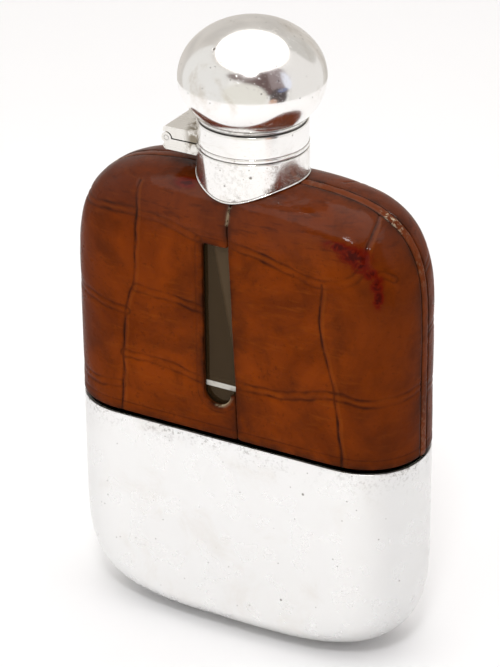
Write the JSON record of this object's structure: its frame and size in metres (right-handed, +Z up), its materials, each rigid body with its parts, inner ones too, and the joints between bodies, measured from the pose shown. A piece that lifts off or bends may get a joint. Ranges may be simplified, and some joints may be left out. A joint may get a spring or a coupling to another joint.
{
  "type": "hip flask",
  "caption": "Leather-covered glass pocket flask with a silver-plated drinking cup over its base and a hinged bayonet cap under a round hollow bun.",
  "frame": {"origin": "middle of the cup's flat foot, on the surface that the flask stands on", "axes": "+Z up through the neck, -Y the front with the window, +X the flask's right, so the cap's hinge is on the -X side"},
  "size_m": [0.088, 0.0332, 0.1505],
  "materials": {
    "silver_plate": "old polished silver plate with fine scratches, pits and light tarnish",
    "scaled_leather": "glossy orange-brown leather with large tooled reptile scales",
    "welt_leather": "narrow glossy edge welt, scuffed at the shoulders",
    "bottle_glass": "clear old glass with a faint olive tint",
    "pin_metal": "worn hinge pin",
    "cement": "dull cream plaster cement",
    "cork": "pressed cork"
  },
  "bodies": {
    "cup": {"drinking_cup": "silver_plate"},
    "bottle": {"glass_bottle": "bottle_glass", "front_leather_left": "scaled_leather", "front_leather_right": "scaled_leather", "back_leather": "scaled_leather", "left_welt": "welt_leather", "right_welt": "welt_leather", "neck_cement": "cement", "neck_collar": "silver_plate", "bayonet_socket": "silver_plate", "hinge_lower_leaf": "silver_plate", "hinge_pin": "pin_metal"},
    "cap_ring": {"hinge_ring": "silver_plate", "hinge_upper_leaf": "silver_plate"},
    "bun": {"bun_shell": "silver_plate", "bun_base_disc": "silver_plate", "bayonet_sleeve": "silver_plate", "bayonet_lug_front": "silver_plate", "bayonet_lug_back": "silver_plate", "retaining_ring": "silver_plate", "cork_backing_disc": "silver_plate", "cork_liner": "cork"}
  },
  "joints": [
    {"name": "bottle_lift", "type": "slide", "parent": "cup", "child": "bottle", "axis": [0, 0, 1], "range_m": [0, 0.06]},
    {"name": "cap_hinge", "type": "hinge", "parent": "bottle", "child": "cap_ring", "pos_m": [-0.01845, 0, 0.1213], "axis": [0, -1, 0], "range_deg": [0, 120]},
    {"name": "bun_turn", "type": "hinge", "parent": "cap_ring", "child": "bun", "pos_m": [0, 0, 0.1213], "axis": [0, 0, -1], "range_deg": [0, 80]}
  ]
}
